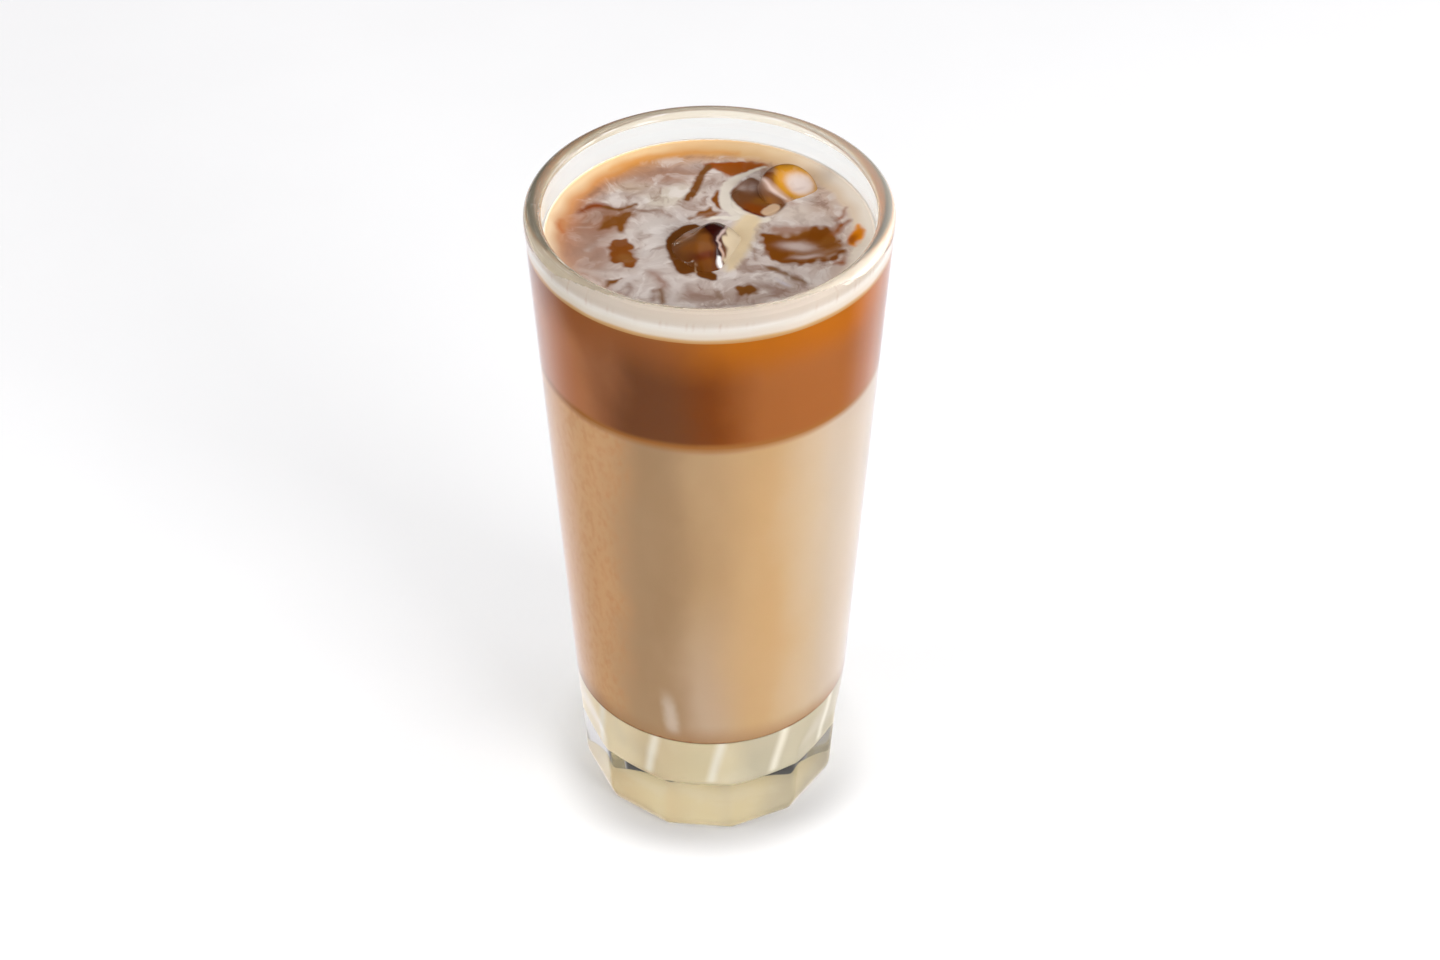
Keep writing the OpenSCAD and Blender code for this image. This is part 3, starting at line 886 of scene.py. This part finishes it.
def milk_top():
    """Rings from under the film, up the wall, up and down the clinging film, and in to the middle."""
    angles = np.linspace(0, 2 * math.pi, 512, endpoint=False)
    rings = []
    for share in np.linspace(0.3, 1, 4):
        rings.append(ring(surface_r * share, angles, coffee_top))
    high = level_z + collar_h - collar_cut
    for share in np.linspace(0, 1, 9)[1:]:
        rings.append(ring(surface_r, angles, coffee_top + share * (high - coffee_top)))
    # At the front the milk was drawn up the wall, and has left a film there: share of its height, thickness
    climb = cling_h * (0.04 + 0.96 * np.clip((-np.sin(angles) + 0.35) / 0.8, 0, 1) ** 2)
    outside = [(share, 0) for share in (0.2, 0.4, 0.6, 0.8, 1)]
    inside = [(1, 0.35), (0.7, 0.4), (0.4, 0.45), (0.1, 0.5)]
    for share, depth in outside + inside:
        z = high + climb * share
        points = ring(inner_r(z) + wetting - depth, angles, 0)
        points[:, 2] = z
        rings.append(points)
    for radius in np.linspace(surface_r - 0.5, 0.25, 135):
        points = ring(radius, angles, level_z)
        points[:, 2] += top_height(points[:, 0], points[:, 1])
        rings.append(points)
    return closed_piece("milk_top", rings, coffee_top, level_z + top_height(0, 0))


def points_of(piece):
    """The piece's points, in millimetres."""
    points = np.empty(len(piece.data.vertices) * 3)
    piece.data.vertices.foreach_get("co", points)
    return points.reshape(-1, 3) / MM


def paint(piece, code, parts, finish):
    """Gives the piece a ground colour, paints parts of the surface on it in turn, and adds its finish."""
    painting = Painting(points_of(piece), code)
    for part in parts:
        part(painting)
    painting.keep(piece)
    piece.data.materials.append(finish)


milk = milk_top()
milk_finish = tinted_finish("milk_film", "8c6550", "ebe2da", 0.75, 0.28)
paint(milk, "cfc0b6", (paint_milk, paint_level_ice, paint_big_ice_flank), milk_finish)
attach(milk, "root")
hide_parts("cream")


# ---------------------------------------------------------------------------
# Three pieces of clear ice, melted round. The largest floats low, one lies level
# with the surface, and one leans on it. They are wet with coffee and hold its colour, and carry painted
# light, shade and highlights.
# ---------------------------------------------------------------------------
big_ice_d = 17.5
big_ice_l = 20.0
big_ice_ball_d = 23.0                           # the ball that rounds its ends
big_ice_tilt = (10, 52, -10)
ice_d = 13.0
ice_l = 15.0
ice_ball_d = 18.8
lean_ice_tilt = (26, 16, 0)
dent_depth = 0.018                              # share of the piece's size


def melted_ice(name, node, centre, tilt, d, l, ball_d, waves):
    """A short round piece of ice: a cylinder with its ends melted to a ball.

    It has soft dents, which are closer together the more waves there are.
    """
    bm = bmesh.new()
    bmesh.ops.create_icosphere(bm, subdivisions=7, radius=1)
    mesh = bpy.data.meshes.new(name)
    bm.to_mesh(mesh)
    bm.free()
    ways = np.empty(len(mesh.vertices) * 3)
    mesh.vertices.foreach_get("co", ways)
    ways = ways.reshape(-1, 3)
    ways /= np.linalg.norm(ways, axis=1)[:, None]
    side = d / 2 / np.maximum(np.hypot(ways[:, 0], ways[:, 1]), 0.01)
    cap = l / 2 / np.maximum(np.abs(ways[:, 2]), 0.01)
    reach = soft_min(soft_min(side, cap, 0.35), ball_d / 2, 0.3)
    dents = np.array([noise.noise(Vector(way) * waves) for way in ways])
    reach *= 1 - dent_depth * (1 + dents)
    turned = np.array(Euler([math.radians(a) for a in tilt]).to_matrix())
    points = (ways * reach[:, None]) @ turned.T + np.array(centre)
    mesh.vertices.foreach_set("co", (points * MM).ravel())
    mesh.polygons.foreach_set("use_smooth", [True] * len(mesh.polygons))
    piece = bpy.data.objects.new(name, mesh)
    bpy.context.collection.objects.link(piece)
    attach(piece, "root")
    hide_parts(node)
    return piece


def middle_of(node):
    """The middle of a CAD node's box."""
    low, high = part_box(node)
    return (Vector(low) + Vector(high)) / 2 / MM


def paint_big_ice(p):
    """Painted light and shade on clear ice over coffee: amber lens and glow, near-black reflection where it
    turns away, glints and a highlight by the cream.
    """
    # A lighter lens, painted where the dome bends the coffee under it, with a painted amber glow low in it
    p.wash("74451a", 1.0, -3.2, -3.4, 4.2, 4.8)
    p.wash("80480c", 0.9, -4, -4.8, 2.0, 1.8)
    p.wash("5e2403", 0.9, -1.0, -7.4, 3.2, 1.4, 10)
    p.stroke("6f2e05", 0.9, 0.8, (-8.6, -5, 1.2), (-8.7, 0, 1.6), (-7.6, 3, 1.6), (-6, 4.6, 1.2))
    # Painted highlight at the upper left
    p.stroke("9c7868", 0.85, 1.0, (-5.4, 3.8, 1.2), (-5.6, 1.6, 1.6), (-4.8, 0, 0.6))
    p.stroke("7d6258", 0.9, 0.7, (-5.4, 5, 0.8), (-2.4, 4.6, 2.0), (1, 4.6, 1.6), (4.4, 4.5, 0.8))
    # Painted near-black reflection and shade where the ice turns away
    p.patch("2a0703", 0.97, 0.9, (-2.4, 3.8), (1, 4.4), (4.8, 4.2), (4, 1), (3, -2), (3.4, -5), (3, -9),
            (1.6, -9.6), (0.6, -7.4), (0.8, -3.5), (0, -0.6), (-1.8, 1.2))
    p.stroke("4c2a1c", 1.0, 0.3, (7.6, 6, 0.3), (5.4, 4.6, 1.2), (4, 2.2, 1.2), (3, 0, 1.0),
            (2.8, -2.4, 0.8))
    # Painted glints along the edge, then a painted white highlight
    p.stroke("b7a199", 1.0, 0.25, (4.8, 4.6, 0.3), (3.4, 2.2, 0.4), (2.3, -0.2, 0.5), (1.8, -2.2, 0.3))
    p.stroke("c2aaa0", 0.9, 0.25, (1.7, -2.4, 0.3), (2.4, -3.4, 0.5), (2.2, -4.6, 0.3))
    p.stroke("b49684", 0.9, 0.25, (2.4, -4.8, 0.7), (3.2, -6.6, 0.4), (2.8, -8.4, 0.5))
    p.stroke("f4f0ee", 1.0, 0.35, (2.2, -7.8, 0.6), (1.9, -9.4, 1.3), (2.2, -11, 0.7))
    p.patch("b8a78b", 1.0, 0.3, (4.9, 4.0), (3.6, 1.8), (3.0, -0.4), (2.9, -2.6), (3.6, -5), (3.3, -8),
            (3, -10), (3, -12.5), (10, -12.5), (10, 6.5), (7.8, 5.2), (6, 4.3))


def paint_leaning_ice(p):
    """Amber painted as light shining through it from behind, with a pale disc at its end."""
    p.wash("5c2a03", 1.0, 11.8, 22, 3.4, 6.5)
    p.stroke("b07204", 0.95, 1.0, (14.6, 26.4, 1.6), (14.8, 22, 1.2), (14.6, 18, 1.0), (16.6, 14.6, 0.8))
    p.stroke("a87820", 0.9, 1.0, (16.6, 26, 1.4), (19.4, 24, 1.2), (22, 20, 0.8))
    p.stroke("a8803e", 0.9, 0.8, (16.2, 16, 0.8), (19.6, 13.8, 1.0), (22.4, 15.4, 0.8), (23, 18.6, 0.8))
    p.wash("b07a42", 0.9, 20.2, 11.6, 2.6, 1.4)
    p.wash("c88a16", 0.95, 18.0, 18.7, 4.3, 5.4, 24, 2.5)
    p.wash("cfbfb6", 1.0, 19.0, 18.5, 3.0, 3.9, 24, 3.0)
    p.wash("b8a299", 0.5, 18.6, 16.8, 1.4, 0.6, 30)


big_ice = melted_ice(
    "ice_largest", "ice_big", middle_of("ice_big"), big_ice_tilt, big_ice_d, big_ice_l, big_ice_ball_d, 2.2)
big_ice_finish = tinted_finish("ice_over_coffee", "4a2008", "8a6a50", 0.15, 0.12)
paint(big_ice, "64340e", (paint_big_ice_flank, paint_big_ice), big_ice_finish)

# The leaning piece is frozen into the back right of this one, so the middle of this one is worked out
# from the left, the front and the top of its box
level_low, level_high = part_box("ice_level")
level_middle = (
    level_low.x / MM + ice_d / 2, level_low.y / MM + ice_d / 2, level_high.z / MM - ice_l / 2)
level_ice = melted_ice(
    "ice_level_piece", "ice_level", level_middle, (0, 0, 0), ice_d, ice_l, ice_ball_d, 2.0)
level_ice_finish = tinted_finish("ice_under_milk", "6e4428", "b29a8e", 0.6, 0.2)
paint(level_ice, "cfc0b6", (paint_milk, paint_level_ice), level_ice_finish)

lean_ice = melted_ice(
    "ice_leaning", "ice_lean", middle_of("ice_lean"), lean_ice_tilt, ice_d, ice_l, ice_ball_d, 1.8)
lean_ice_finish = tinted_finish("ice_amber", "a0661c", "d8c4ae", 0.15, 0.3)
paint(lean_ice, "8e5f1c", (paint_leaning_ice, paint_level_ice), lean_ice_finish)
